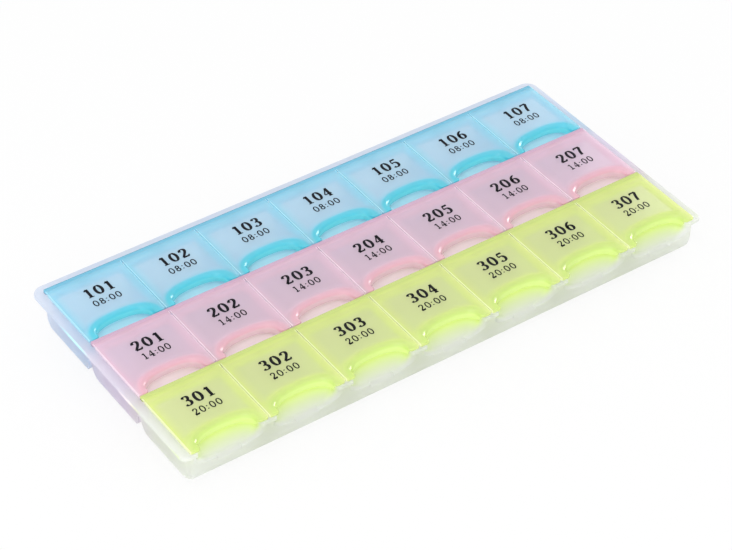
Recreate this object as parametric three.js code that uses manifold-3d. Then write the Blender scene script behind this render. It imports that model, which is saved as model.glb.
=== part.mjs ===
// Weekly pill organizer: one moulded tray with three rows of seven compartments, and three lid
// mouldings, each a hinge strip with seven lids that fold back on their living hinges.
// Millimetres, +Z up, front towards -Y. The origin is below the middle of the whole outline.

import * as THREE from 'three';
import { mergeVertices } from 'three/addons/utils/BufferGeometryUtils.js';
import Module from 'manifold-3d';

const wasm = await Module();
wasm.setup();

// Grid of compartments
const columnCount = 7;
const columnPitch = 30;
const rowPitch = 32;
const rowNames = ['night', 'noon', 'morning'];
const rowCount = rowNames.length;

// Tray: deck, which is also the flange round the grid
const deckTop = 15.6;
const deckThickness = 1.5;
const flangeFront = 1.5;
const flangeBack = 3.6;
const flangeSide = 3.3;
const flangeFrontRadius = 2.6;
const flangeBackRadius = 4.6;

// Tray: troughs below the deck, one to a row
const endWallOverhang = 1;
const endWallDraft = 0.6;
const bodyCornerRadius = 2.2;
const frontDraft = 1.5;
const frontFootRadius = 7;
const backWallSetback = 0.9;
const backFootRadius = 11.5;
const valleyTop = 8.3;
const valleyRadius = 0.5;
const endFootRadius = 1.6;
const footGrooveWidth = 3.2;
const footGrooveDepth = 1.2;

// Tray: the inside of a compartment
const floorThickness = 1.3;
const partitionThickness = 1.3;
const cavityBackInset = 3.4;
const cavityDraft = 0.3;
const cavityBackRadius = 8;
const cavitySideRadius = 2.4;

// Tray: the thumb scoop in front of a compartment, and the curved wall behind it
const scoopDrop = 6.3;
const scoopFootHalfWidth = 4.5;
const scoopFootDepth = 1.2;
const scoopWall = 1.2;
const scoopFlareShares = [0, 0.4, 0.75, 1];
const scoopFrontLand = 0.1;
const coreWall = 1.3;
const coreSetback = 4.8;

// Tray: the channel between two rows, hidden below the deck, that takes the strips' tabs
const channelWidth = 1.2;
const channelBackLand = 0.8;
const channelEndWall = 1.6;

// Lid mouldings
const lidThickness = 1.2;
const lidRestGap = 0.2;
const lidSideGap = 0.25;
const lidFrontGap = 0.15;
const lidCornerRadius = 0.8;
const hingeSetback = 2.4;
const hingeHalfGap = 0.5;
const hingeChamfer = 0.3;
const webThickness = 0.4;
const webReach = 0.2;
const webSideGap = 0.5;
const stripBackGap = 0.2;
const tabThickness = 0.7;
const tabLength = 4;
const tabDepth = 2.6;
const tabEndGap = 0.3;

// Lid front: the arch, its rounded edge and the skirt that hangs into the scoop
const archPower = 2.6;
const archDepth = 6.8;
const padWidth = 1.9;
const archEdgeRadius = 2;
const skirtThickness = 1;
const skirtDrop = 3.4;
const skirtEndDrop = 2.2;
const skirtEndLength = 2.5;
const skirtRoot = 0.4;
const skirtGap = 0.35;
const skirtFootGap = 0.7;

// Lid underside: the rib that plugs the compartment
const plugGap = 0.35;
const plugThickness = 0.9;
const plugDepth = 1.6;

// Steps of the round stretches, and one overrun for every cut
const cornerSteps = 3;
const footSteps = 4;
const archSteps = 10;
const edgeSteps = 3;
const overrun = 1;

// Places worked out from the sizes above
const gridLength = columnCount * columnPitch;
const gridDepth = rowCount * rowPitch;
const outlineDepth = flangeFront + gridDepth + flangeBack;
const gridLeft = -gridLength / 2;
const gridFront = flangeFront - outlineDepth / 2;
const gridBack = gridFront + gridDepth;
const deckUnder = deckTop - deckThickness;
const lidUnder = deckTop + lidRestGap;
const lidTop = lidUnder + lidThickness;
const cavityHalfWidth = (columnPitch - partitionThickness) / 2;
const cavityBack = rowPitch - cavityBackInset;
const archHalfWidth = columnPitch / 2 - lidSideGap - padWidth - archEdgeRadius;
const scoopHalfWidth = archHalfWidth + skirtThickness + skirtGap;
const scoopDepth = archDepth + skirtThickness + skirtGap;
const scoopShoulder = skirtDrop - (lidTop - deckTop) + skirtFootGap;
const archWallDepth = scoopDepth + scoopWall;
const archWallHalfWidth = columnPitch / 2;

const rowFront = (row) => gridFront + row * rowPitch;
const columnCentre = (column) => gridLeft + (column + 0.5) * columnPitch;
const partitionPlace = (column) => gridLeft + column * columnPitch;

// Solids from closed geometries, and geometries from solids

function toSolid(geometry) {
  const bare = geometry.index ? geometry.toNonIndexed() : geometry.clone();
  bare.deleteAttribute('normal');
  bare.deleteAttribute('uv');
  const merged = mergeVertices(bare);
  const vertProperties = new Float32Array(merged.attributes.position.array);
  const triVerts = new Uint32Array(merged.index.array);
  return new wasm.Manifold(new wasm.Mesh({ numProp: 3, vertProperties, triVerts }));
}

function toGeometry(solid) {
  const mesh = solid.getMesh();
  const geometry = new THREE.BufferGeometry();
  geometry.setAttribute('position', new THREE.BufferAttribute(mesh.vertProperties, mesh.numProp));
  geometry.setIndex(new THREE.BufferAttribute(mesh.triVerts, 1));
  geometry.computeVertexNormals();
  return geometry;
}

function joined(solids) {
  return solids.reduce((whole, solid) => whole.add(solid));
}

// Outlines. A corner is [x, y] or [x, y, radius], and a radius becomes an arc of the given steps.

function outline(corners, steps = cornerSteps) {
  const points = [];
  corners.forEach(([x, y, radius = 0], place) => {
    const corner = new THREE.Vector2(x, y);
    if (radius === 0) {
      points.push(corner);
      return;
    }
    const [beforeX, beforeY] = corners.at(place - 1);
    const [afterX, afterY] = corners[(place + 1) % corners.length];
    const towardsBefore = new THREE.Vector2(beforeX, beforeY).sub(corner).normalize();
    const towardsAfter = new THREE.Vector2(afterX, afterY).sub(corner).normalize();
    const halfAngle = Math.acos(towardsBefore.dot(towardsAfter)) / 2;
    const middle = towardsBefore.clone().add(towardsAfter).normalize();
    const centre = corner.clone().addScaledVector(middle, radius / Math.sin(halfAngle));
    const tangent = radius / Math.tan(halfAngle);
    const start = corner.clone().addScaledVector(towardsBefore, tangent).sub(centre);
    const end = corner.clone().addScaledVector(towardsAfter, tangent).sub(centre);
    const sweep = Math.atan2(start.cross(end), start.dot(end));
    for (let step = 0; step <= steps; step += 1) {
      const turned = start.clone().rotateAround(new THREE.Vector2(), (sweep * step) / steps);
      points.push(turned.add(centre));
    }
  });
  return points;
}

function prism(points, length) {
  return new THREE.ExtrudeGeometry(new THREE.Shape(points), { depth: length, bevelEnabled: false });
}

// Points are (y, z), carried along X
function prismAlongX(points, fromX, toX) {
  const turn = new THREE.Matrix4().makeBasis(
    new THREE.Vector3(0, 1, 0),
    new THREE.Vector3(0, 0, 1),
    new THREE.Vector3(1, 0, 0),
  );
  return toSolid(prism(points, toX - fromX).applyMatrix4(turn).translate(fromX, 0, 0));
}

// Points are (x, z), carried along Y
function prismAlongY(points, fromY, toY) {
  const turn = new THREE.Matrix4().makeBasis(
    new THREE.Vector3(1, 0, 0),
    new THREE.Vector3(0, 0, 1),
    new THREE.Vector3(0, -1, 0),
  );
  return toSolid(prism(points, toY - fromY).applyMatrix4(turn).translate(0, toY, 0));
}

// Points are (x, y), carried along Z
function prismAlongZ(points, fromZ, toZ) {
  return toSolid(prism(points, toZ - fromZ).translate(0, 0, fromZ));
}

function rectangle(fromX, fromY, toX, toY) {
  return [[fromX, fromY], [toX, fromY], [toX, toY], [fromX, toY]];
}

function block(fromX, toX, fromY, toY, fromZ, toZ) {
  return prismAlongZ(outline(rectangle(fromX, fromY, toX, toY)), fromZ, toZ);
}

// A body through rings of equal point counts, with flat ends. capFaces lists an end's triangles.
function loft(rings, capFaces) {
  const count = rings[0].length;
  const positions = rings.flat().flatMap((point) => [point.x, point.y, point.z]);
  const faces = [];
  for (let ring = 0; ring + 1 < rings.length; ring += 1) {
    for (let place = 0; place < count; place += 1) {
      const next = (place + 1) % count;
      const here = ring * count;
      const there = here + count;
      faces.push(here + place, here + next, there + next);
      faces.push(here + place, there + next, there + place);
    }
  }
  const last = (rings.length - 1) * count;
  capFaces.forEach(([a, b, c]) => {
    faces.push(c, b, a);
    faces.push(last + a, last + b, last + c);
  });
  const geometry = new THREE.BufferGeometry();
  geometry.setAttribute('position', new THREE.Float32BufferAttribute(positions, 3));
  geometry.setIndex(faces);
  return toSolid(geometry);
}

// The arch is half of a superellipse: x = a cos^(2/p), y = b sin^(2/p)
function archPoint(halfWidth, depth, share) {
  const turn = Math.PI * share;
  const across = Math.cos(turn);
  const reach = Math.abs(across) ** (2 / archPower) * Math.sign(across);
  const back = Math.abs(Math.sin(turn)) ** (2 / archPower);
  return new THREE.Vector2(halfWidth * reach, depth * back);
}

function archCurve(halfWidth, depth) {
  const points = [];
  for (let step = 0; step <= archSteps; step += 1) {
    points.push(archPoint(halfWidth, depth, step / archSteps));
  }
  return points;
}

// An arch closed by a straight front edge
function archOutline(halfWidth, depth, frontReach) {
  return [
    new THREE.Vector2(-halfWidth, -frontReach),
    new THREE.Vector2(halfWidth, -frontReach),
    ...archCurve(halfWidth, depth),
  ];
}

// The cut that makes a thumb scoop: upright at the shoulder, then rounding in to a small foot
function scoopCut(frontReach) {
  const levels = scoopFlareShares.map((flareShare) => ({
    height: deckTop - scoopShoulder - (scoopDrop - scoopShoulder) * flareShare,
    halfWidth: scoopFootHalfWidth
      + (scoopHalfWidth - scoopFootHalfWidth) * Math.sqrt(1 - flareShare ** 2),
    depth: scoopFootDepth + (scoopDepth - scoopFootDepth) * (1 - flareShare ** 2),
  }));
  levels.unshift({ height: deckTop + overrun, halfWidth: scoopHalfWidth, depth: scoopDepth });
  const rings = levels.reverse().map(({ height, halfWidth, depth }) => (
    archOutline(halfWidth, depth, frontReach).map((point) => (
      new THREE.Vector3(point.x, point.y, height)))
  ));
  const contour = archOutline(scoopHalfWidth, scoopDepth, frontReach);
  return loft(rings, THREE.ShapeUtils.triangulateShape(contour, []));
}

// A compartment's mouth drawn in by an inset, as a plate. Its front follows the scoop's wall.
function mouthPlate(inset, fromZ, toZ) {
  const halfWidth = cavityHalfWidth - inset;
  const mouth = block(-halfWidth, halfWidth, 0, cavityBack - inset, fromZ, toZ);
  const wall = archOutline(archWallHalfWidth + inset, archWallDepth + inset, overrun);
  return mouth.subtract(prismAlongZ(wall, fromZ - overrun, toZ + overrun));
}

// Tray

function trayDeck() {
  const halfLength = gridLength / 2 + flangeSide;
  const front = gridFront - flangeFront;
  const back = gridBack + flangeBack;
  const corners = [
    [-halfLength, front, flangeFrontRadius],
    [halfLength, front, flangeFrontRadius],
    [halfLength, back, flangeBackRadius],
    [-halfLength, back, flangeBackRadius],
  ];
  return prismAlongZ(outline(corners, footSteps), deckUnder, deckTop);
}

// The troughs seen from the end: a drafted front wall and a wide curve at the back of each row
function troughOutline() {
  const seat = deckUnder + deckThickness / 2;
  const draftAt = (height) => frontDraft * (1 - height / seat);
  const corners = [];
  for (let row = 0; row < rowCount; row += 1) {
    const front = rowFront(row);
    const back = front + rowPitch - backWallSetback;
    if (row > 0) {
      corners.push([front + draftAt(valleyTop), valleyTop, valleyRadius]);
    }
    corners.push([front + frontDraft, 0, frontFootRadius]);
    corners.push([back, 0, backFootRadius]);
    if (row + 1 < rowCount) {
      corners.push([back, valleyTop, valleyRadius]);
    }
  }
  corners.push([gridBack - backWallSetback, seat]);
  corners.push([gridFront, seat]);
  return outline(corners, footSteps);
}

// The troughs seen from the front: drafted ends, and a groove below each partition
function footOutline() {
  const topHalf = gridLength / 2 + endWallOverhang;
  const footHalf = topHalf - endWallDraft;
  const corners = [[-topHalf, deckTop], [-footHalf, 0, endFootRadius]];
  for (let column = 1; column < columnCount; column += 1) {
    const x = partitionPlace(column);
    corners.push([x - footGrooveWidth / 2, 0]);
    corners.push([x, footGrooveDepth]);
    corners.push([x + footGrooveWidth / 2, 0]);
  }
  corners.push([footHalf, 0, endFootRadius], [topHalf, deckTop]);
  return outline(corners, footSteps);
}

function trayBody() {
  const halfLength = gridLength / 2 + endWallOverhang;
  const back = gridBack - backWallSetback;
  const plan = rectangle(-halfLength, gridFront, halfLength, back)
    .map(([x, y]) => [x, y, bodyCornerRadius]);
  const length = prismAlongX(troughOutline(), -halfLength, halfLength);
  const feet = prismAlongY(footOutline(), gridFront - overrun, gridBack);
  return length.intersect(feet).intersect(prismAlongZ(outline(plan), -overrun, deckTop));
}

// The compartments' inside, with the scoops' walls left standing in front
function cavities() {
  const rowShapes = [];
  const columnShapes = [];
  const walls = [];
  const top = deckTop + overrun;
  for (let row = 0; row < rowCount; row += 1) {
    const front = rowFront(row);
    const corners = [
      [front, top],
      [front, floorThickness],
      [front + cavityBack, floorThickness, cavityBackRadius],
      [front + cavityBack, top],
    ];
    const halfLength = gridLength / 2;
    rowShapes.push(prismAlongX(outline(corners, footSteps), -halfLength, halfLength));
  }
  for (let column = 0; column < columnCount; column += 1) {
    const centre = columnCentre(column);
    const foot = cavityHalfWidth - cavityDraft;
    const corners = [
      [centre - cavityHalfWidth, top],
      [centre - foot, floorThickness, cavitySideRadius],
      [centre + foot, floorThickness, cavitySideRadius],
      [centre + cavityHalfWidth, top],
    ];
    columnShapes.push(prismAlongY(outline(corners), gridFront, gridBack));
  }
  const wall = prismAlongZ(archOutline(archWallHalfWidth, archWallDepth, overrun), 0, top + overrun);
  eachCell((x, y) => walls.push(wall.translate([x, y, 0])));
  return joined(rowShapes).intersect(joined(columnShapes)).subtract(joined(walls));
}

// The space under each scoop, cored out from below so that its walls stay thin
function scoopCore() {
  const halfWidth = cavityHalfWidth - coreWall;
  const under = archOutline(archWallHalfWidth - coreWall, archWallDepth - coreWall, overrun);
  const top = deckTop - scoopDrop - coreWall;
  const reach = block(-halfWidth, halfWidth, coreSetback, rowPitch, -overrun, top);
  return prismAlongZ(under, -overrun, top).intersect(reach);
}

function eachCell(visit) {
  for (let row = 0; row < rowCount; row += 1) {
    for (let column = 0; column < columnCount; column += 1) {
      visit(columnCentre(column), rowFront(row), row, column);
    }
  }
}

// Channels below the hinge strips, and a slot through the deck for each tab
function channels() {
  const cuts = [];
  const halfLength = gridLength / 2 - channelEndWall;
  const halfSlot = tabLength / 2 + tabEndGap;
  const fromY = rowPitch - channelBackLand - channelWidth;
  const toY = rowPitch - channelBackLand;
  for (let row = 0; row + 1 < rowCount; row += 1) {
    const y = rowFront(row);
    cuts.push(block(-halfLength, halfLength, y + fromY, y + toY, 0, deckUnder));
  }
  eachCell((x, y) => {
    cuts.push(block(x - halfSlot, x + halfSlot, y + fromY, y + toY, 0, deckTop + overrun));
  });
  return joined(cuts);
}

function traySolid() {
  const scoops = [];
  const cores = [];
  const frontRowScoop = scoopCut(flangeFront + overrun);
  const innerScoop = scoopCut(scoopFrontLand);
  const core = scoopCore();
  eachCell((x, y, row) => {
    scoops.push((row === 0 ? frontRowScoop : innerScoop).translate([x, y, 0]));
    cores.push(core.translate([x, y, 0]));
  });
  return trayBody()
    .add(trayDeck())
    .subtract(cavities())
    .subtract(joined(scoops))
    .subtract(joined(cores))
    .subtract(channels());
}

// Hinge strip, in the frame of its row: x from the middle of the tray, y from the row's front
function stripSolid() {
  const hinge = rowPitch - hingeSetback;
  const front = hinge + hingeHalfGap;
  const back = rowPitch - stripBackGap;
  const halfLength = gridLength / 2 - lidSideGap;
  const webFront = hinge - webReach;
  const tabBack = rowPitch - channelBackLand - (channelWidth - tabThickness) / 2;
  const bar = [
    [front, deckTop],
    [back, deckTop],
    [back, lidTop],
    [front + hingeChamfer, lidTop],
    [front, lidTop - hingeChamfer],
  ];
  const pieces = [prismAlongX(outline(bar), -halfLength, halfLength)];
  const halfWeb = columnPitch / 2 - webSideGap;
  const halfTab = tabLength / 2;
  for (let column = 0; column < columnCount; column += 1) {
    const x = columnCentre(column);
    const web = [x - halfWeb, x + halfWeb, webFront, front + hingeChamfer];
    const tab = [x - halfTab, x + halfTab, tabBack - tabThickness, tabBack];
    pieces.push(block(...web, lidTop - webThickness, lidTop));
    pieces.push(block(...tab, deckTop - tabDepth, lidUnder));
  }
  return joined(pieces);
}

// Lid, in the frame of its cell: x from the middle of the cell, y from the row's front

function lidPlate() {
  const halfWidth = columnPitch / 2 - lidSideGap;
  const back = rowPitch - hingeSetback - hingeHalfGap;
  const archHalf = archHalfWidth + archEdgeRadius;
  const arch = archCurve(archHalf, archDepth + archEdgeRadius)
    .map((point) => [point.x, Math.max(point.y, lidFrontGap)]);
  const corners = [
    [halfWidth, back],
    [-halfWidth, back],
    [-halfWidth, lidFrontGap, lidCornerRadius],
    ...arch.reverse(),
    [halfWidth, lidFrontGap, lidCornerRadius],
  ];
  const plate = prismAlongZ(outline(corners), lidUnder, lidTop);
  const bevel = [
    [back - hingeChamfer, lidTop],
    [back, lidTop - hingeChamfer],
    [back + overrun, lidTop - hingeChamfer],
    [back + overrun, lidTop + overrun],
    [back - hingeChamfer, lidTop + overrun],
  ];
  return plate.subtract(prismAlongX(outline(bevel), -columnPitch, columnPitch));
}

// The arch's rounded edge and skirt, one closed profile carried round the arch
function lidSkirt() {
  const profile = [];
  for (let step = 0; step <= edgeSteps; step += 1) {
    const turn = ((Math.PI / 2) * step) / edgeSteps;
    const inset = archEdgeRadius * (1 - Math.sin(turn));
    profile.push({ inset, drop: archEdgeRadius * (1 - Math.cos(turn)) });
  }
  profile.push({ inset: 0, hangs: true });
  profile.push({ inset: skirtThickness, hangs: true });
  profile.push({ inset: skirtThickness, drop: lidThickness });
  profile.push({ inset: archEdgeRadius, drop: lidThickness });
  profile.push({ inset: archEdgeRadius + skirtRoot, drop: lidThickness / 2 });
  const rings = [];
  for (let step = 0; step <= archSteps; step += 1) {
    const distance = archPoint(archHalfWidth, archDepth, step / archSteps).y;
    const hangShare = Math.min(distance / skirtEndLength, 1);
    const hang = skirtEndDrop + (skirtDrop - skirtEndDrop) * hangShare;
    rings.push(profile.map(({ inset, drop, hangs }) => {
      const point = archPoint(archHalfWidth + inset, archDepth + inset, step / archSteps);
      const height = lidTop - (hangs ? hang : drop);
      return new THREE.Vector3(point.x, Math.max(point.y, lidFrontGap), height);
    }));
  }
  const contour = profile.map(({ inset, drop, hangs }) => (
    new THREE.Vector2(inset, hangs ? -skirtDrop : -drop)));
  return loft(rings.reverse(), THREE.ShapeUtils.triangulateShape(contour, []));
}

function lidPlug() {
  const foot = lidUnder - plugDepth;
  const root = lidUnder + lidThickness / 2;
  const outer = mouthPlate(plugGap, foot, root);
  return outer.subtract(mouthPlate(plugGap + plugThickness, foot - overrun, root + overrun));
}

function lidSolid() {
  return lidPlate().add(lidSkirt()).add(lidPlug());
}

// Materials

function plastic(color, roughness) {
  return new THREE.MeshStandardMaterial({ color, roughness, metalness: 0 });
}

const trayPlastic = plastic(0xe3e4ea, 0.45);
const lidPlastics = {
  night: plastic(0xd3e58c, 0.22),
  noon: plastic(0xe2b8d2, 0.22),
  morning: plastic(0x8fd2ec, 0.22),
};

// Assembly

const organizer = new THREE.Group();

function place(name, geometry, material, x, y, z) {
  const mesh = new THREE.Mesh(geometry, material);
  mesh.name = name;
  mesh.position.set(x, y, z);
  organizer.add(mesh);
}

place('tray', toGeometry(traySolid()), trayPlastic, 0, 0, 0);

const stripGeometry = toGeometry(stripSolid());
const lidGeometry = toGeometry(lidSolid());
rowNames.forEach((rowName, row) => {
  place(`${rowName}_hinge_strip`, stripGeometry, lidPlastics[rowName], 0, rowFront(row), 0);
});
eachCell((x, y, row, column) => {
  const rowName = rowNames[row];
  place(`${rowName}_lid_${column + 1}`, lidGeometry, lidPlastics[rowName], x, y, 0);
});

export default organizer;
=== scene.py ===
"""Looks of a weekly pill organizer: a frosted tray and three tinted lid mouldings on living hinges.

Sizes are written in millimetres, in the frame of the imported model: X along the rows, Y from the thumb
notches to the hinges, Z up from the table. They become metres when a mesh is made.
"""

import logging
import math
from dataclasses import dataclass, field
from enum import Enum

import bmesh
import bpy
import numpy as np
from mathutils import Matrix, Vector


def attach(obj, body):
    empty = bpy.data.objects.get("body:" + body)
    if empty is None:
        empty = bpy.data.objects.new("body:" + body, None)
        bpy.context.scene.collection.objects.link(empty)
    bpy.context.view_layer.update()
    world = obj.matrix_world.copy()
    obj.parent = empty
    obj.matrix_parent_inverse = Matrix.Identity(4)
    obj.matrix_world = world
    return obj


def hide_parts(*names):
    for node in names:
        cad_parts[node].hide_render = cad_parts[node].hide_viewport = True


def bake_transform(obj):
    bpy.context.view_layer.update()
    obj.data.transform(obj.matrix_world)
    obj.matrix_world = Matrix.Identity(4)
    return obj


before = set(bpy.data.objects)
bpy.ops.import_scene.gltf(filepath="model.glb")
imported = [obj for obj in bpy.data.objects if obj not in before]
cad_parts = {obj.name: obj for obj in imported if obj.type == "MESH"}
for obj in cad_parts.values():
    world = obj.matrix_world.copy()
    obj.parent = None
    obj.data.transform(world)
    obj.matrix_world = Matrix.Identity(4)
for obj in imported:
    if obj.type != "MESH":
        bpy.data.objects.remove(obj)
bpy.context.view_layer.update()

LOG = logging.getLogger("pill_organizer")
MM = 0.001
# The height that marks the hinge strips' points for the finishes.
STRIP_MARK = 100.0

Shell = tuple[np.ndarray, list]


class DayPart(Enum):
    """The rows, counted from the front of the tray."""

    NIGHT = 0
    NOON = 1
    MORNING = 2

    @property
    def label(self) -> str:
        """The name that the row's nodes start with."""
        return self.name.lower()


class Axis(Enum):
    """The direction that a flat outline is carried along."""

    X = 0
    Y = 1
    Z = 2


# ---------------------------------------------------------------- shared sizes


@dataclass(frozen=True)
class CellGrid:
    """Places of the compartments, and the heights that the tray and the lids share."""

    columns: int = 7
    column_pitch: float = 30.0
    row_pitch: float = 32.0
    front: float = -49.05
    deck_top: float = 15.6
    deck_under: float = 14.1
    lid_under: float = 15.8
    lid_top: float = 17.0
    arch_power: float = 2.6
    arch_half_width: float = 10.85
    arch_depth: float = 6.8

    @property
    def half_length(self) -> float:
        """Half of the rows' length."""
        return self.columns * self.column_pitch / 2

    @property
    def depth(self) -> float:
        """Depth of the three rows together."""
        return len(DayPart) * self.row_pitch

    def centre(self, column: int) -> float:
        """X of a column's middle."""
        return (column + 0.5) * self.column_pitch - self.half_length

    def row_front(self, part: DayPart) -> float:
        """Y of a row's front boundary."""
        return self.front + part.value * self.row_pitch

    def cells(self) -> list[tuple[DayPart, int]]:
        """Every row and column."""
        return [(part, column) for part in DayPart for column in range(self.columns)]


GRID = CellGrid()


# ---------------------------------------------------------------- shapes


def rounded(corners: list[tuple], steps: int = 8) -> np.ndarray:
    """Outline whose corners are arcs: each arc is centre + radius times (cos, sin) of evenly stepped angles.

    Args:
        corners: (x, y) or (x, y, radius) for each corner, in order.
        steps: Steps of each arc.

    Returns:
        Points of the closed outline, one row each.
    """
    points = []
    for place, corner in enumerate(corners):
        here = np.array(corner[:2], float)
        radius = corner[2] if len(corner) > 2 else 0.0
        if radius <= 0:
            points.append(here[None])
            continue
        before = np.array(corners[place - 1][:2], float) - here
        after = np.array(corners[(place + 1) % len(corners)][:2], float) - here
        before /= np.linalg.norm(before)
        after /= np.linalg.norm(after)
        half = math.acos(np.clip(before @ after, -1, 1)) / 2
        middle = (before + after) / np.linalg.norm(before + after)
        centre = here + middle * radius / math.sin(half)
        start = here + before * radius / math.tan(half) - centre
        end = here + after * radius / math.tan(half) - centre
        sweep = math.atan2(start[0] * end[1] - start[1] * end[0], start @ end)
        turn = np.linspace(0, sweep, steps + 1)
        arc = np.stack([start[0] * np.cos(turn) - start[1] * np.sin(turn),
                        start[0] * np.sin(turn) + start[1] * np.cos(turn)], -1)
        points.append(centre + arc)
    return np.concatenate(points)


def dense(points: np.ndarray, spacing: float) -> np.ndarray:
    """Cuts the long stretches of a closed outline into equal steps.

    Args:
        points: The outline.
        spacing: The longest step.

    Returns:
        The finer outline.
    """
    ends = np.roll(points, -1, axis=0)
    counts = np.maximum(1, np.ceil(np.linalg.norm(ends - points, axis=1) / spacing)).astype(int)
    shares = np.concatenate([np.arange(count) / count for count in counts])
    starts = np.repeat(points, counts, axis=0)
    return starts + shares[:, None] * (np.repeat(ends, counts, axis=0) - starts)


def outward(points: np.ndarray) -> np.ndarray:
    """Works out normals: the tangent between a point's neighbours, turned a quarter to the right.

    Args:
        points: A closed outline that runs counterclockwise.

    Returns:
        A unit normal for each point.
    """
    tangent = np.roll(points, -1, axis=0) - np.roll(points, 1, axis=0)
    tangent /= np.linalg.norm(tangent, axis=1, keepdims=True)
    return np.stack([tangent[:, 1], -tangent[:, 0]], -1)


def arch(half_width: float, depth: float, steps: int) -> np.ndarray:
    """Draws half a superellipse from right to left: x = a cos^(2/p), y = b sin^(2/p), with p from the grid.

    Args:
        half_width: The half width a.
        depth: The depth b.
        steps: Steps from end to end.

    Returns:
        The points.
    """
    turn = np.linspace(0, math.pi, steps + 1)
    power = 2 / GRID.arch_power
    across = np.sign(np.cos(turn)) * np.abs(np.cos(turn)) ** power
    return np.stack([half_width * across, depth * np.abs(np.sin(turn)) ** power], -1)


def arch_height(half_width: float, depth: float, x: float) -> float:
    """Y of the arch at a distance x from its middle."""
    share = min(abs(x) / half_width, 1.0)
    return depth * (1 - share ** GRID.arch_power) ** (1 / GRID.arch_power)


def quarter(steps: int) -> np.ndarray:
    """The angles of a quarter turn in equal steps."""
    return np.linspace(0, math.pi / 2, steps + 1)


def smooth(share: np.ndarray) -> np.ndarray:
    """Smoothstep: 0 below 0, 1 above 1, and 3s^2 - 2s^3 between."""
    share = np.clip(share, 0, 1)
    return share * share * (3 - 2 * share)


def grid_quads(rings: int, count: int, close_rings: bool = False) -> list:
    """Joins ring r, place k to its neighbours in a grid of closed rings.

    Args:
        rings: Number of rings.
        count: Points in each ring.
        close_rings: True where the last ring joins the first.

    Returns:
        The quads.
    """
    last = rings if close_rings else rings - 1
    ring, place = np.meshgrid(np.arange(last), np.arange(count), indexing="ij")
    here, there = ring * count, (ring + 1) % rings * count
    after = (place + 1) % count
    return np.stack([here + place, here + after, there + after, there + place], -1).reshape(-1, 4).tolist()


def loft(rings: np.ndarray) -> Shell:
    """Makes a closed shell through rings of points, with a flat end at the first and at the last ring.

    Args:
        rings: Points as (ring, place, xyz). Each ring runs counterclockwise seen against the way of travel.

    Returns:
        The shell's points and faces.
    """
    count = rings.shape[1]
    faces = grid_quads(len(rings), count)
    faces.append(list(range(count))[::-1])
    faces.append([(len(rings) - 1) * count + place for place in range(count)])
    return rings.reshape(-1, 3), faces


def prism(points: np.ndarray, axis: Axis, start: float, end: float) -> Shell:
    """Carries a flat outline along an axis.

    Args:
        points: The outline, as (y, z), (x, z) or (x, y).
        axis: The axis.
        start: Place of the first end on the axis.
        end: Place of the second end.

    Returns:
        The closed shell.
    """
    flat = {Axis.X: (1, 2), Axis.Y: (0, 2), Axis.Z: (0, 1)}[axis]
    rings = np.empty((2, len(points), 3))
    rings[:, :, axis.value] = np.array([start, end])[:, None]
    rings[:, :, flat] = points
    return loft(rings[::-1] if axis is Axis.Y else rings)


def block(low: tuple, high: tuple) -> Shell:
    """A box between two corners."""
    outline = np.array([(low[0], low[1]), (high[0], low[1]), (high[0], high[1]), (low[0], high[1])])
    return prism(outline, Axis.Z, low[2], high[2])


def together(shells: list[Shell]) -> Shell:
    """Puts several shells into one list of points and faces.

    Args:
        shells: The shells.

    Returns:
        One shell.
    """
    points, faces, count = [], [], 0
    for shell_points, shell_faces in shells:
        points.append(shell_points)
        faces += [[corner + count for corner in face] for face in shell_faces]
        count += len(shell_points)
    return np.concatenate(points), faces


def moved(shell: Shell, x: float, y: float, z: float = 0.0) -> Shell:
    """A shell at another place."""
    return shell[0] + np.array([x, y, z]), shell[1]


def mark_cell(piece: bpy.types.Object, x: float, y: float, strip: bool = False) -> None:
    """Stores each point's place in its cell, in millimetres, for the finishes.

    Args:
        piece: The finished piece.
        x: The cell's middle.
        y: The row's front.
        strip: True for the hinge strip, which runs past the cells: its points get the cell's middle and the
            strips' mark as height.
    """
    count = len(piece.data.vertices)
    points = np.empty(count * 3, np.float32)
    piece.data.vertices.foreach_get("co", points)
    local = points.reshape(-1, 3) / MM - np.array([x, y, 0])
    if strip:
        local[:, 0], local[:, 2] = 0.0, STRIP_MARK
    attribute = piece.data.attributes.new("cell", "FLOAT_VECTOR", "POINT")
    attribute.data.foreach_set("vector", local.astype(np.float32).ravel())


def mesh_object(name: str, shell: Shell, material: bpy.types.Material | None = None) -> bpy.types.Object:
    """Makes a mesh object from points in millimetres.

    Args:
        name: The piece's name.
        shell: Points and faces.
        material: The finish, or None for a cutter.

    Returns:
        The new object, at the origin.
    """
    mesh = bpy.data.meshes.new(name)
    mesh.from_pydata((shell[0] * MM).tolist(), [], shell[1])
    mesh.update()
    made = bpy.data.objects.new(name, mesh)
    bpy.context.scene.collection.objects.link(made)
    if material:
        mesh.materials.append(material)
    return made


def soften(piece: bpy.types.Object, angle: float = 35.0) -> None:
    """Shades a piece smooth, with its flat faces kept flat.

    Args:
        piece: The piece.
        angle: Edges sharper than this, in degrees, stay hard.
    """
    piece.data.shade_smooth()
    piece.data.set_sharp_from_angle(angle=math.radians(angle))
    weigh = piece.modifiers.new("shading", "WEIGHTED_NORMAL")
    weigh.weight, weigh.keep_sharp = 100, True


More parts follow.
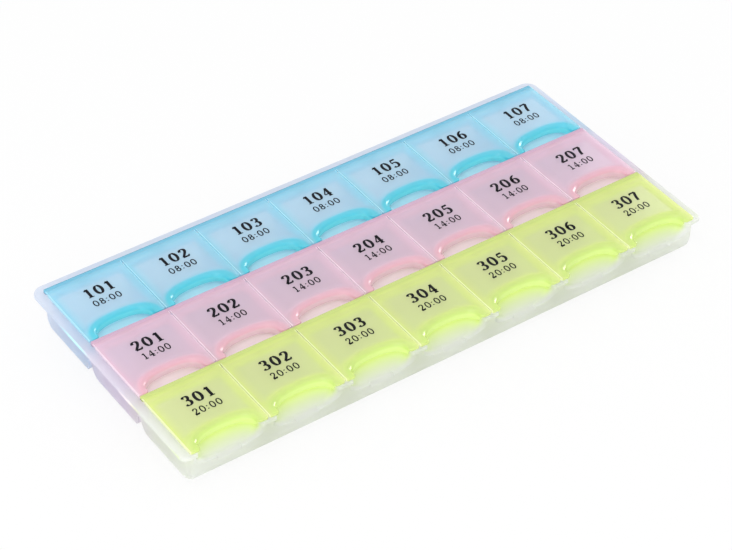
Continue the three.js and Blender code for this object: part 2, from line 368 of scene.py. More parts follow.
def combine(piece: bpy.types.Object, shell: Shell, operation: str) -> None:
    """Joins a shell to a piece, cuts it from the piece or keeps what both hold.

    Args:
        piece: The piece that changes.
        shell: The other shape.
        operation: UNION, DIFFERENCE or INTERSECT.
    """
    tool = mesh_object("tool", shell)
    step = piece.modifiers.new("step", "BOOLEAN")
    step.operation, step.solver, step.object = operation, "MANIFOLD", tool
    bpy.context.view_layer.update()
    result = bpy.data.meshes.new_from_object(piece.evaluated_get(bpy.context.evaluated_depsgraph_get()))
    piece.modifiers.clear()
    old, piece.data = piece.data, result
    bpy.data.meshes.remove(old)
    bpy.data.meshes.remove(tool.data)
    LOG.info("%s %s: %d faces", piece.name, operation.lower(), len(result.polygons))


# ---------------------------------------------------------------- finishes


def linear(colour: str) -> tuple[float, float, float, float]:
    """Turns an sRGB hex colour to linear: c / 12.92 below 0.04045, else ((c + 0.055) / 1.055) ^ 2.4.

    Args:
        colour: The colour as #rrggbb.

    Returns:
        Red, green, blue and an alpha of 1.
    """
    values = np.array([int(colour[place:place + 2], 16) for place in (1, 3, 5)]) / 255
    values = np.where(values <= 0.04045, values / 12.92, ((values + 0.055) / 1.055) ** 2.4)
    return (*values.tolist(), 1.0)


class NodeSheet:
    """The node tree of a material or of the world."""

    def __init__(self, owner: bpy.types.Material | bpy.types.World) -> None:
        """Starts with an empty tree.

        Args:
            owner: The material or the world.
        """
        owner.use_nodes = True
        self.owner = owner
        self.tree = owner.node_tree
        self.tree.nodes.clear()

    def add(self, kind: str, inputs: dict | tuple = (), **settings: object) -> bpy.types.Node:
        """Adds a node with its settings and links.

        Args:
            kind: The node's type, without the words ShaderNode in front.
            inputs: What the inputs take, by their names or in their order: a number, a linear colour, an sRGB
                hex colour, a socket, or a node for its first output.
            settings: The node's own settings.

        Returns:
            The new node.
        """
        node = self.tree.nodes.new(f"ShaderNode{kind}")
        for name, value in settings.items():
            setattr(node, name, value)
        for name, value in (inputs if isinstance(inputs, dict) else dict(enumerate(inputs))).items():
            if isinstance(value, bpy.types.Node):
                value = value.outputs[0]
            if isinstance(value, bpy.types.NodeSocket):
                self.tree.links.new(value, node.inputs[name])
            else:
                node.inputs[name].default_value = linear(value) if isinstance(value, str) else value
        return node


@dataclass(frozen=True)
class ClearPolypropylene:
    """Clear tinted polypropylene, moulded in a polished tool.

    It gives the eye glossy, even faces that let the inside show through with a tint and a little haze. The
    colour is deeper where light crosses more of the plastic: along the borders, and most of all in the arch's
    rounded edge and skirt. Below the plate the skirt is made lighter, as painted light where it hangs in
    shade, and the sides' outermost line is pale, a painted highlight. The tinted light that it throws on the
    scoop wall near by is painted on the tray.
    """

    name: str
    clear: str
    border_clear: str
    arch_clear: str
    haze: str
    border_haze: str
    arch_haze: str
    # The skirt's own tint, made lighter where it hangs in shade: partly painted light.
    skirt_tint_and_painted_light: str
    # A pale colour on the sides' outermost line: a painted highlight.
    edge_line_painted_highlight: str
    strip_haze: str
    rim_haze: str
    # The tinted light that the lid throws on the tray's scoop walls, painted on the tray: painted light.
    painted_lid_light: str
    haze_share: float = 0.42
    border_share: float = 0.46
    arch_share: float = 0.62
    # The body's share on that line, so that the painted highlight shows.
    edge_line_highlight_share: float = 0.7
    strip_share: float = 0.75
    glow_share: float = 0.22
    border_width: float = 4.5
    line_width: float = 0.45
    line_core: float = 0.27
    # Ways from the arch between which its tint ends, and heights over the lid's underside for the skirt's
    # lighter colour, which is partly painted light.
    arch_turn: tuple = (1.2, 2.6)
    skirt_turn: tuple = (-0.6, 0.4)
    cloud_size: float = 9.0
    cloud_detail: float = 3.0
    cloud_depth: float = 0.5
    ripple_size: float = 3.5
    ripple_depth: float = 0.012
    roughness: float = 0.16
    ior: float = 1.49

    def zones(self, sheet: NodeSheet) -> tuple[bpy.types.Node, ...]:
        """Adds the shares of the lid's zones, from the place in its cell.

        With the arch's half width a, depth b and power p, the way to the arch is
        b (((x/a)^p + (y/b)^p)^(1/p) - 1).

        Args:
            sheet: The tree that gets the nodes.

        Returns:
            Six nodes: 1 at the plate's border and 0 a border width inside, 1 on the outermost line of its
            sides, where a highlight is painted, 1 in the arch's rounded edge and skirt, 1 below the plate,
            where the skirt is made lighter as painted light, 1 on the hinge strip, and 1 on the strip's
            outermost line.
        """
        shape, power = LidShape(), GRID.arch_power
        cell = sheet.add("Attribute", attribute_name="cell").outputs["Vector"]
        place = sheet.add("SeparateXYZ", (cell,)).outputs
        across = sheet.add("Math", (place["X"],), operation="ABSOLUTE")
        side = sheet.add("Math", (shape.half_width, across), operation="SUBTRACT")
        back = sheet.add("Math", (shape.back, place["Y"]), operation="SUBTRACT")
        wide = sheet.add("Math", (across, GRID.arch_half_width), operation="DIVIDE")
        wide = sheet.add("Math", (wide, power), operation="POWER")
        deep = sheet.add("Math", (place["Y"], GRID.arch_depth), operation="DIVIDE")
        deep = sheet.add("Math", (deep, 0.0), operation="MAXIMUM")
        deep = sheet.add("Math", (deep, power), operation="POWER")
        reach = sheet.add("Math", (wide, deep), operation="ADD")
        reach = sheet.add("Math", (reach, 1 / power), operation="POWER")
        arch_way = sheet.add("Math", (reach, GRID.arch_depth, -GRID.arch_depth), operation="MULTIPLY_ADD")
        way = sheet.add("Math", (side, back), operation="MINIMUM")
        way = sheet.add("Math", (way, arch_way), operation="MINIMUM")
        line = (self.line_core, self.line_width)
        under = [GRID.lid_under + turn for turn in self.skirt_turn]
        falls = ((way, (0.0, self.border_width)), (side, line), (arch_way, self.arch_turn),
                 (place["Z"], under), (back, line))
        border, painted_highlight_line, curved, skirt, back_line = (
            sheet.add("MapRange", (value, *within, 1.0, 0.0), interpolation_type="SMOOTHSTEP")
            for value, within in falls)
        strip = sheet.add("Math", (place["Z"], STRIP_MARK / 2), operation="GREATER_THAN")
        rim = sheet.add("Math", (strip, back_line), operation="MULTIPLY")
        return border, painted_highlight_line, curved, skirt, strip, rim

    def build(self) -> bpy.types.Material:
        """Makes the material.

        Returns:
            The material.
        """
        sheet = NodeSheet(bpy.data.materials.new(self.name))
        border, line, curved, skirt, strip, rim = self.zones(sheet)
        place = sheet.add("TexCoord").outputs["Object"]
        cloud = sheet.add("TexNoise", {"Vector": place, "Scale": 1 / (self.cloud_size * MM),
                                       "Detail": self.cloud_detail})
        ripple = sheet.add("TexNoise", {"Vector": place, "Scale": 1 / (self.ripple_size * MM)})
        normal = sheet.add("Bump", {"Height": ripple, "Strength": 1.0, "Distance": self.ripple_depth * MM})
        uneven = sheet.add("Math", (cloud, self.cloud_depth, -self.cloud_depth / 2), operation="MULTIPLY_ADD")
        uneven = sheet.add("Math", (border, uneven), operation="ADD", use_clamp=True)
        haze = sheet.add("MixRGB", (uneven, self.haze, self.border_haze))
        # Partly painted light: below the plate the skirt takes a lighter colour, where it hangs in shade.
        arch_haze = sheet.add("MixRGB", (skirt, self.arch_haze, self.skirt_tint_and_painted_light))
        # The sides' outermost line gets the pale colour of a painted highlight.
        tints = ((curved, arch_haze), (strip, self.strip_haze), (rim, self.rim_haze), (line, self.edge_line_painted_highlight))
        for zone, tint in tints:
            haze = sheet.add("MixRGB", (zone, haze, tint))
        share = sheet.add("MapRange", (border, 0.0, 1.0, self.haze_share, self.border_share))
        # The painted highlight line takes its own body share.
        for zone, amount in ((curved, self.arch_share), (strip, self.strip_share), (line, self.edge_line_highlight_share)):
            share = sheet.add("MapRange", (zone, 0.0, 1.0, share, amount))
        clear = sheet.add("MixRGB", (border, self.clear, self.border_clear))
        clear = sheet.add("MixRGB", (curved, clear, self.arch_clear))
        skin = {"Roughness": self.roughness, "Normal": normal}
        body = sheet.add("BsdfPrincipled", {"Base Color": haze, "IOR": self.ior, **skin})
        glow = sheet.add("BsdfTranslucent", {"Color": haze, "Normal": normal})
        body = sheet.add("MixShader", (self.glow_share, body, glow))
        through = sheet.add("BsdfTransparent", {"Color": clear})
        shine = sheet.add("BsdfGlossy", skin)
        fresnel = sheet.add("Fresnel", {"IOR": self.ior, "Normal": normal})
        inside = sheet.add("NewGeometry").outputs["Backfacing"]
        outside = sheet.add("Math", (1.0, inside), operation="SUBTRACT")
        fresnel = sheet.add("Math", (fresnel, outside), operation="MULTIPLY")
        film = sheet.add("MixShader", (fresnel, through, shine))
        sheet.add("OutputMaterial", {"Surface": sheet.add("MixShader", (share, film, body))})
        return sheet.owner


@dataclass(frozen=True)
class NaturalPolypropylene:
    """Natural, uncoloured polypropylene, moulded in a finely blasted tool.

    It gives the eye a milky, satin skin that lets light and a blurred inside through. The lids' tinted light
    is painted into its colour, so that it looks cool behind, lilac in the middle and nearly neutral in front,
    in some places more than in others. On the scoops' walls a point attribute holds more of the lids' tinted
    light, painted there as well.
    """

    name: str = "moulded_natural_polypropylene"
    pale: str = "#fbfbfa"
    # Painted light: the tint that each row's lids lay on the tray, the share that it takes, and the way over
    # which it turns from row to row.
    night_painted_light: str = "#f9faf9"
    noon_painted_light: str = "#f2eef9"
    morning_painted_light: str = "#ecf1fb"
    painted_light_share: float = 0.8
    painted_light_turn: float = 10.0
    clear: str = "#fcfcfd"
    # Each pair is the value away from the painted lid light and the value in it, where the skin reflects
    # more: painted light that lightens the scoops.
    clear_share: tuple = (0.22, 0.02)
    glow_share: tuple = (0.62, 0.04)
    cloud_size: float = 14.0
    cloud_detail: float = 3.0
    cloud_range: tuple = (0.35, 0.65)
    # The blasted skin's grain, about 0.1 mm wide on the real tray, is drawn coarser so that it shows.
    grain_size: float = 0.35
    grain_depth: float = 0.01
    roughness: tuple = (0.36, 0.46)
    ior: float = 1.49

    def build(self) -> bpy.types.Material:
        """Makes the material.

        Returns:
            The material.
        """
        sheet = NodeSheet(bpy.data.materials.new(self.name))
        place = sheet.add("TexCoord").outputs["Object"]
        cloud = sheet.add("TexNoise", {"Vector": place, "Scale": 1 / (self.cloud_size * MM),
                                       "Detail": self.cloud_detail})
        cloudy = sheet.add("MapRange", (cloud, *self.cloud_range))
        grain = sheet.add("TexNoise", {"Vector": place, "Scale": 1 / (self.grain_size * MM)})
        normal = sheet.add("Bump", {"Height": grain, "Strength": 1.0, "Distance": self.grain_depth * MM})
        depth = sheet.add("SeparateXYZ", (place,)).outputs["Y"]
        # Painted light: the rows' tints, from front to back, laid into the colour, more in some places than
        # in others.
        painted_light = self.night_painted_light
        for part, after in ((DayPart.NOON, self.noon_painted_light), (DayPart.MORNING, self.morning_painted_light)):
            turn = [(GRID.row_front(part) + way) * MM for way in (-self.painted_light_turn, self.painted_light_turn)]
            painted_light = sheet.add("MixRGB", (sheet.add("MapRange", (depth, *turn)), painted_light, after))
        share = sheet.add("MapRange", (cloudy, 0.0, 1.0, 1.0, self.painted_light_share))
        colour = sheet.add("MixRGB", (share, self.pale, painted_light))
        # Painted light: the lids' tinted light on the scoops' walls, from a point attribute, with its
        # strength in alpha.
        painted_lid_light = sheet.add("Attribute", attribute_name="painted_lid_light").outputs
        colour = sheet.add("MixRGB", (painted_lid_light["Alpha"], colour, painted_lid_light["Color"]))
        rough = sheet.add("MapRange", (cloudy, 0.0, 1.0, *self.roughness))
        body = sheet.add("BsdfPrincipled", {"Base Color": colour, "Roughness": rough, "IOR": self.ior,
                                            "Normal": normal})
        glow = sheet.add("BsdfTranslucent", {"Color": colour, "Normal": normal})
        # Where that painted light lies, less light passes into the skin and more is reflected: painted light
        # that lightens the scoops.
        share = sheet.add("MapRange", (painted_lid_light["Alpha"], 0.0, 1.0, *self.glow_share))
        body = sheet.add("MixShader", (share, body, glow))
        through = sheet.add("BsdfTransparent", {"Color": self.clear})
        # Less is clear there too, as part of the same painted light.
        share = sheet.add("MapRange", (painted_lid_light["Alpha"], 0.0, 1.0, *self.clear_share))
        sheet.add("OutputMaterial", {"Surface": sheet.add("MixShader", (share, body, through))})
        return sheet.owner


@dataclass(frozen=True)
class PadInk:
    """Black pad-printing ink, laid on in a thin film.

    It gives the eye a deep, dull black, a little thinner in spots.
    """

    name: str = "pad_printed_ink"
    full: str = "#0b0a0f"
    thin: str = "#1a191f"
    # Such a film's thin spots are about 0.1 mm wide, and are drawn coarser so that they show.
    spot_size: float = 0.6
    spot_depth: float = 0.004
    gloss: float = 0.1
    roughness: tuple = (0.5, 0.65)

    def build(self) -> bpy.types.Material:
        """Makes the material.

        Returns:
            The material.
        """
        sheet = NodeSheet(bpy.data.materials.new(self.name))
        place = sheet.add("TexCoord").outputs["Object"]
        spots = sheet.add("TexNoise", {"Vector": place, "Scale": 1 / (self.spot_size * MM)})
        colour = sheet.add("MixRGB", (spots, self.full, self.thin))
        rough = sheet.add("MapRange", (spots, 0.0, 1.0, *self.roughness))
        normal = sheet.add("Bump", {"Height": spots, "Strength": 1.0, "Distance": self.spot_depth * MM})
        ink = sheet.add("BsdfPrincipled", {"Base Color": colour, "Roughness": rough,
                                           "Specular IOR Level": self.gloss, "Normal": normal})
        sheet.add("OutputMaterial", {"Surface": ink})
        return sheet.owner


LID_PLASTICS = {
    DayPart.MORNING: ClearPolypropylene(
        "moulded_blue_polypropylene", clear="#fafeff", border_clear="#eefcff", arch_clear="#e6fbff",
        haze="#cbedfc", border_haze="#b8effc", arch_haze="#6ae0ee", skirt_tint_and_painted_light="#96ffff",
        edge_line_painted_highlight="#c8f6ff", strip_haze="#86d2ea", rim_haze="#34b4cc", painted_lid_light="#c8f7ff"),
    DayPart.NOON: ClearPolypropylene(
        "moulded_pink_polypropylene", clear="#fffbfd", border_clear="#fff6fb", arch_clear="#fff6f9",
        haze="#f9e3ee", border_haze="#fce4ef", arch_haze="#f8ccd8", skirt_tint_and_painted_light="#ffecf4",
        edge_line_painted_highlight="#fff2fa", strip_haze="#e4c0d6", rim_haze="#e4c0d6", painted_lid_light="#fff1f4"),
    DayPart.NIGHT: ClearPolypropylene(
        "moulded_yellow_polypropylene", clear="#fefff2", border_clear="#fcffdf", arch_clear="#fcffdf",
        haze="#f1fbba", border_haze="#f5feb2", arch_haze="#dff09c", skirt_tint_and_painted_light="#effdb0",
        edge_line_painted_highlight="#fdffdc", strip_haze="#dae894", rim_haze="#dae894", painted_lid_light="#dff28c"),
}


# ---------------------------------------------------------------- tray


@dataclass
class Tray:
    """The frosted tray: a deck with its flange, three troughs below it, compartments and thumb scoops."""

    grid: CellGrid = GRID
    flange_front: float = 0.5
    flange_back: float = 3.6
    flange_side: float = 3.3
    flange_front_radius: float = 2.6
    flange_back_radius: float = 4.6
    rim_radius: float = 0.6
    rim_step: float = 8.0
    end_overhang: float = 1.0
    end_draft: float = 0.6
    corner_radius: float = 4.0
    toe_growth: float = 12.0
    toe_height: float = 9.0
    toe_steps: int = 10
    toe_bias: float = 1.4
    front_draft: float = 1.5
    front_foot_radius: float = 7.0
    back_setback: float = 0.9
    back_foot_radius: float = 11.5
    valley_top: float = 8.3
    valley_radius: float = 0.5
    end_foot_radius: float = 4.6
    groove_width: float = 3.2
    groove_depth: float = 1.2
    groove_radius: float = 0.5
    floor: float = 1.3
    mouth_half_width: float = 14.35
    mouth_back: float = 28.6
    mouth_corner_radius: float = 2.4
    mouth_front_share: float = 0.6
    wall_draft: float = 0.3
    floor_side_radius: float = 2.4
    floor_back_radius: float = 8.0
    floor_front_radius: float = 2.0
    floor_land: float = 0.25
    floor_turn: float = 0.02
    floor_steps: int = 12
    wall_half_width: float = 15.0
    wall_depth: float = 9.35
    scoop_half_width: float = 12.2
    scoop_depth: float = 8.15
    scoop_shoulder: float = 2.7
    scoop_drop: float = 6.3
    scoop_foot_half_width: float = 4.5
    scoop_foot_depth: float = 0.9
    scoop_land: float = 0.1
    scoop_edge_radius: float = 2.2
    scoop_floor_turn: float = 12.0
    scoop_floor_steps: int = 8
    scoop_steps: int = 14
    scoop_side_turns: tuple = (0.0, 20.0, 40.0, 60.0, 80.0)
    scoop_under: float = 0.2
    scoop_step: float = 0.02
    channel_from: float = 30.0
    channel_to: float = 31.2
    channel_end: float = 103.4
    slot_half_width: float = 2.3
    # Where and how strongly the lids' tinted light is painted on the front scoops' walls: painted light.
    painted_lid_light_foot: float = 8.0
    painted_lid_light_rise: float = 4.4
    painted_lid_light_front: float = 0.8
    painted_lid_light_turn: float = 3.0
    painted_lid_light_margin: float = 0.4
    painted_lid_light_drop: float = 0.05
    lip_radius: float = 0.3
    lip_turns: tuple = (0.0, 22.5, 45.0, 67.5, 84.0)
    pad_corner_radius: float = 0.8
    core_wall: float = 1.3
    core_setback: float = 4.8
    core_land: float = 0.2
    core_corner_radius: float = 0.3
    core_radius: float = 0.8
    past_front: float = 1.0
    past_back: float = 3.0
    past_top: float = 1.0
    past_table: float = 1.0
    past_foot: float = 0.5
    weld: float = 0.004
    hard_angle: float = 30.0

    def build(self, material: bpy.types.Material) -> bpy.types.Object:
        """Makes the tray and puts it in the place of its node.

        Args:
            material: Its plastic.

        Returns:
            The tray.
        """
        tray = mesh_object("tray_shell", self.troughs(), material)
        combine(tray, self.feet(), "INTERSECT")
        combine(tray, self.corners(), "INTERSECT")
        combine(tray, self.deck(), "UNION")
        for cutter in (self.compartment, self.scoop, self.core):
            combine(tray, together([cutter(*cell) for cell in self.grid.cells()]), "DIFFERENCE")
        combine(tray, together(self.channels()), "DIFFERENCE")
        combine(tray, together(self.slots()), "DIFFERENCE")
        self.tidy(tray)
        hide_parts("tray")
        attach(tray, "tray")
        return tray

    def troughs(self) -> Shell:
        """Carries the three rows' outline, seen from the end, along the length.

        Returns:
            The closed shell.
        """
        seat = (self.grid.deck_top + self.grid.deck_under) / 2
        corners = []
        for part in DayPart:
            front = self.grid.row_front(part)
            back = front + self.grid.row_pitch - self.back_setback
            if part is not DayPart.NIGHT:
                start = front + self.front_draft * (1 - self.valley_top / seat)
                corners.append((start, self.valley_top, self.valley_radius))
            corners.append((front + self.front_draft, 0.0, self.front_foot_radius))
            corners.append((back, 0.0, self.back_foot_radius))
            if part is not DayPart.MORNING:
                corners.append((back, self.valley_top, self.valley_radius))
        corners.append((self.grid.front + self.grid.depth - self.back_setback, seat))
        corners.append((self.grid.front, seat))
        half = self.grid.half_length + self.end_overhang
        return prism(rounded(corners, steps=12), Axis.X, -half, half)

    def feet(self) -> Shell:
        """Carries the troughs' outline, seen from the front, through all rows.

        It has drafted ends and a rounded groove below each partition.

        Returns:
            The closed shell, which runs past the rows in front and behind.
        """
        top = self.grid.half_length + self.end_overhang
        foot = top - self.end_draft
        corners = [(-top, self.grid.deck_top), (-foot, 0.0, self.end_foot_radius)]
        for column in range(1, self.grid.columns):
            x = column * self.grid.column_pitch - self.grid.half_length
            half, edge = self.groove_width / 2, self.groove_radius
            corners += [(x - half, 0.0, edge), (x, self.groove_depth, edge), (x + half, 0.0, edge)]
        corners += [(foot, 0.0, self.end_foot_radius), (top, self.grid.deck_top)]
        back = self.grid.front + self.grid.depth
        outline = rounded(corners, steps=8)
        return prism(outline, Axis.Y, self.grid.front - self.past_front, back + self.past_back)

    def corners(self) -> Shell:
        """Draws the troughs seen from above.

        At a height z over the table a corner's radius is r + g (1 - z/h)^3.

        Returns:
            The closed shell.
        """
        half = self.grid.half_length + self.end_overhang
        back = self.grid.front + self.grid.depth - self.back_setback
        heights = np.linspace(0, 1, self.toe_steps) ** self.toe_bias * self.toe_height
        heights = np.append(heights, self.grid.deck_top)
        rings = []
        for height in np.append(-self.past_table, heights):
            radius = self.corner_radius + self.toe_growth * (1 - np.clip(height / self.toe_height, 0, 1)) ** 3
            places = ((-half, self.grid.front), (half, self.grid.front), (half, back), (-half, back))
            plan = rounded([(x, y, radius) for x, y in places], steps=12)
            rings.append(np.column_stack([plan, np.full(len(plan), height)]))
        return loft(np.array(rings))

    def deck(self) -> Shell:
        """Makes the deck: its outline is drawn in by r(1 - sin) at heights r(1 - cos) from both faces.

        Returns:
            The closed shell.
        """
        half = self.grid.half_length + self.flange_side
        front = self.grid.front - self.flange_front
        back = self.grid.front + self.grid.depth + self.flange_back
        near, far = (front, self.flange_front_radius), (back, self.flange_back_radius)
        outline = rounded([(-half, *near), (half, *near), (half, *far), (-half, *far)], steps=12)
        outline = dense(outline, self.rim_step)
        turn = quarter(steps=4)
        inset = self.rim_radius * (1 - np.sin(turn))
        rise = self.rim_radius * (1 - np.cos(turn))
        insets = np.concatenate([inset, inset[::-1]])
        heights = np.concatenate([self.grid.deck_under + rise, self.grid.deck_top - rise[::-1]])
        rings = np.empty((len(insets), len(outline), 3))
        rings[:, :, :2] = outline - insets[:, None, None] * outward(outline)
        rings[:, :, 2] = heights[:, None]
        return loft(rings)

    def mouth(self, draw_in: float, corner: float) -> np.ndarray:
        """Draws a compartment's mouth: straight sides and back, and the scoop's wall in front.

        Args:
            draw_in: How far the walls stand in.
            corner: Radius of the back corners.

        Returns:
            The outline.
        """
        half = self.mouth_half_width - draw_in
        wide, deep = self.wall_half_width + draw_in, self.wall_depth + draw_in
        front = arch_height(wide, deep, half)
        curve = arch(wide, deep, steps=36)
        curve = curve[np.abs(curve[:, 0]) < half - corner][::-1]
        corners = [(half, self.mouth_back - draw_in, corner), (-half, self.mouth_back - draw_in, corner),
                   (-half, front, corner * self.mouth_front_share)]
        corners += [tuple(point) for point in curve] + [(half, front, corner * self.mouth_front_share)]
        return rounded(corners, steps=6)

    def lip(self) -> tuple[np.ndarray, np.ndarray]:
        """Rounds an opening's lip: it stands out by r(1 - cos) at r(1 - sin) under the deck's top.

        Returns:
            How far it stands out, and the heights.
        """
        turn = np.radians(self.lip_turns)
        out = self.lip_radius * (1 - np.cos(turn))
        height = self.grid.deck_top - self.lip_radius * (1 - np.sin(turn))
        return np.append(out, out[-1]), np.append(height, self.grid.deck_top + self.past_top)

    def compartment(self, part: DayPart, column: int) -> Shell:
        """Makes a compartment's inside.

        At a height h over the floor its walls come in by r - sqrt(r^2 - (r - h)^2).

        Args:
            part: The row.
            column: The column.

        Returns:
            The cutter in its place.
        """
        outline = self.mouth(0.0, self.mouth_corner_radius)
        normal = outward(outline)
        middle = np.array([0.0, (self.mouth_back + self.wall_depth) / 2])
        out, height = self.lip()
        turn = np.linspace(self.floor_turn, 1, self.floor_steps + 1) * math.pi / 2
        foot = self.floor + self.floor_back_radius * (1 - np.cos(turn))
        out = np.concatenate([np.zeros_like(foot), out])
        height = np.concatenate([foot, height])
        rise = height - self.floor

        def drawn_in(radius: float) -> np.ndarray:
            """Works out how far a wall stands in at each height.

            Args:
                radius: The radius of its foot.

            Returns:
                One value for each ring.
            """
            left = np.clip(radius - rise, 0, radius)
            draft = np.clip(1 - rise / (self.grid.deck_top - self.floor), 0, 1)
            return radius - np.sqrt(radius ** 2 - left ** 2) + self.wall_draft * draft

        deep = middle[1] - arch_height(self.wall_half_width, self.wall_depth, 0.0)
        wide_share = 1 - drawn_in(self.floor_side_radius) / self.mouth_half_width
        back_share = 1 - drawn_in(self.floor_back_radius) / (self.mouth_back - middle[1])
        front_share = 1 - drawn_in(self.floor_front_radius) / deep
        spread = outline - middle
        rings = np.empty((len(rise) + 1, len(outline), 3))
        rings[1:, :, 0] = spread[:, 0] * wide_share[:, None] + out[:, None] * normal[:, 0]
        shares = np.where(spread[:, 1] > 0, back_share[:, None], front_share[:, None])
        rings[1:, :, 1] = middle[1] + spread[:, 1] * shares + out[:, None] * normal[:, 1]
        rings[1:, :, 2] = height[:, None]
        rings[0] = rings[1]
        rings[0, :, :2] -= self.floor_land * normal
        return moved(loft(rings), self.grid.centre(column), self.grid.row_front(part))

    def scoop(self, part: DayPart, column: int) -> Shell:
        """Makes a thumb scoop, which is upright to its shoulder.

        Below, with a share s of the way down, its depth shrinks with s^2 and its width with sqrt(1 - s^2). A
        front scoop opens through the wall. Its corners and its floor's edge turn into the wall with a radius
        R, where the floor's depth is R - sqrt(R^2 - h^2), h above the arc's foot.

        Args:
            part: The row.
            column: The column.

        Returns:
            The cutter in its place.
        """
        front = part is DayPart.NIGHT
        out, height = self.lip()
        share = np.sin(np.linspace(1, 0, self.scoop_steps + 1) * math.pi / 2)
        low = self.grid.deck_top - self.scoop_shoulder - (self.scoop_drop - self.scoop_shoulder) * share
        under = self.grid.deck_under - self.scoop_under
        under = np.array([under - self.scoop_step, under]) if front else np.empty(0)
        height = np.concatenate([low, under, height])
        out = np.concatenate([np.zeros(len(low) + len(under)), out])
        share = np.concatenate([share, np.zeros(len(height) - len(share))])
        wide = (self.scoop_half_width - self.scoop_foot_half_width) * np.sqrt(1 - share ** 2)
        wide += self.scoop_foot_half_width
        radius = self.scoop_edge_radius
        foot = self.scoop_foot_depth
        if front:
            low_turn = math.radians(self.scoop_floor_turn)
            arc = np.linspace(math.pi / 2, low_turn, self.scoop_floor_steps + 1)[::-1]
            rise = radius * np.sin(arc)
            floor = self.grid.deck_top - self.scoop_drop
            seat = (self.grid.deck_top + self.grid.deck_under) / 2
            wall = self.front_draft * (1 - floor / seat)
            foot = wall + radius
        deep = foot + (self.scoop_depth - foot) * (1 - share ** 2)
        base = np.zeros(len(height))
        if front:
            height = np.concatenate([floor - radius + rise[:-1], height])
            deep = np.concatenate([wall + radius - radius * np.cos(arc[:-1]), deep])
            wide = np.concatenate([np.full(len(arc) - 1, wide[0]), wide])
            out = np.concatenate([np.zeros(len(arc) - 1), out])
            wall = self.front_draft * (1 - height / seat)
            base = np.minimum(wall + radius, deep - self.scoop_step)
            above = height > self.grid.deck_under - self.scoop_under - self.scoop_step / 2
            base[above] = self.pad_corner_radius - self.flange_front
        curve = arch(1.0, 1.0, steps=40)
        turn = np.radians(self.scoop_side_turns)
        count = len(turn) + 1 if front else 1
        rings = np.empty((len(height), len(curve) + 2 * count, 3))
        rings[:, count:-count, 0] = wide[:, None] * curve[:, 0]
        rings[:, count:-count, 1] = base[:, None] + (deep - base)[:, None] * curve[:, 1]
        side_out, side_y = np.zeros((len(height), 1)), np.full((len(height), 1), -self.scoop_land)
        if front:
            corner = np.where(above, self.pad_corner_radius, np.minimum(base - wall, radius))[:, None]
            side_out = np.concatenate([corner * (1 - np.cos(turn)), corner * (1 - np.cos(turn[-1:]))], axis=1)
            side_y = np.concatenate([base[:, None] - corner * np.sin(turn),
                                     np.full((len(height), 1), -self.flange_front - self.past_front)], axis=1)
        rings[:, :count, 0] = wide[:, None] + side_out[:, ::-1]
        rings[:, -count:, 0] = -wide[:, None] - side_out
        rings[:, :count, 1] = side_y[:, ::-1]
        rings[:, -count:, 1] = side_y
        normal = outward(rings[-1, :, :2])
        normal[:count], normal[-count:] = (1, 0), (-1, 0)
        rings[:, :, :2] += out[:, None, None] * normal
        rings[:, :, 2] = height[:, None]
        return moved(loft(rings), self.grid.centre(column), self.grid.row_front(part))

    def core(self, part: DayPart, column: int) -> Shell:
        """Makes the hollow below a scoop, open from below: an arch cut off in front, with a rounded top.

        Args:
            part: The row.
            column: The column.

        Returns:
            The cutter in its place.
        """
        wide, deep = self.wall_half_width - self.core_wall, self.wall_depth - self.core_wall
        curve = arch(wide, deep, steps=40)
        curve = curve[curve[:, 1] > self.core_setback + self.core_land]
        end = wide * (1 - (self.core_setback / deep) ** GRID.arch_power) ** (1 / GRID.arch_power)
        right, left = ((side, self.core_setback, self.core_corner_radius) for side in (end, -end))
        outline = rounded([right, *(tuple(point) for point in curve), left], steps=3)
        top = self.grid.deck_top - self.scoop_drop - self.core_wall
        turn = quarter(steps=5)
        draw = np.concatenate([[0.0], self.core_radius * (1 - np.cos(turn))])
        height = np.concatenate([[-self.past_table], top - self.core_radius * (1 - np.sin(turn))])
        middle = np.array([0.0, (self.core_setback + deep) / 2])
        half = np.array([end, (deep - self.core_setback) / 2])
        rings = np.empty((len(draw), len(outline), 3))
        rings[:, :, :2] = middle + (outline - middle) * (1 - draw[:, None, None] / half)
        rings[:, :, 2] = height[:, None]
        return moved(loft(rings), self.grid.centre(column), self.grid.row_front(part))

    def channels(self) -> list[Shell]:
        """Makes the channels below the hinge strips, open from below.

        Returns:
            The cutters.
        """
        return [block((-self.channel_end, self.grid.row_front(part) + self.channel_from, -self.past_foot),
                      (self.channel_end, self.grid.row_front(part) + self.channel_to, self.grid.deck_under))
                for part in (DayPart.NIGHT, DayPart.NOON)]

    def slots(self) -> list[Shell]:
        """Makes a slot through the deck for each of the strips' tabs.

        Returns:
            The cutters.
        """
        return [block((self.grid.centre(column) - self.slot_half_width,
                       self.grid.row_front(part) + self.channel_from, -self.past_foot),
                      (self.grid.centre(column) + self.slot_half_width,
                       self.grid.row_front(part) + self.channel_to, self.grid.deck_top + self.past_top))
                for part, column in self.grid.cells()]

    def tidy(self, tray: bpy.types.Object) -> None:
        """Merges doubles and shades the curved walls smooth, with the flat faces kept flat.

        Args:
            tray: The finished tray.
        """
        work = bmesh.new()
        work.from_mesh(tray.data)
        bmesh.ops.remove_doubles(work, verts=work.verts, dist=self.weld * MM)
        work.to_mesh(tray.data)
        work.free()
        # Paints the lids' tinted light on the scoops' walls.
        self.mark_painted_lid_light(tray)
        soften(tray, self.hard_angle)

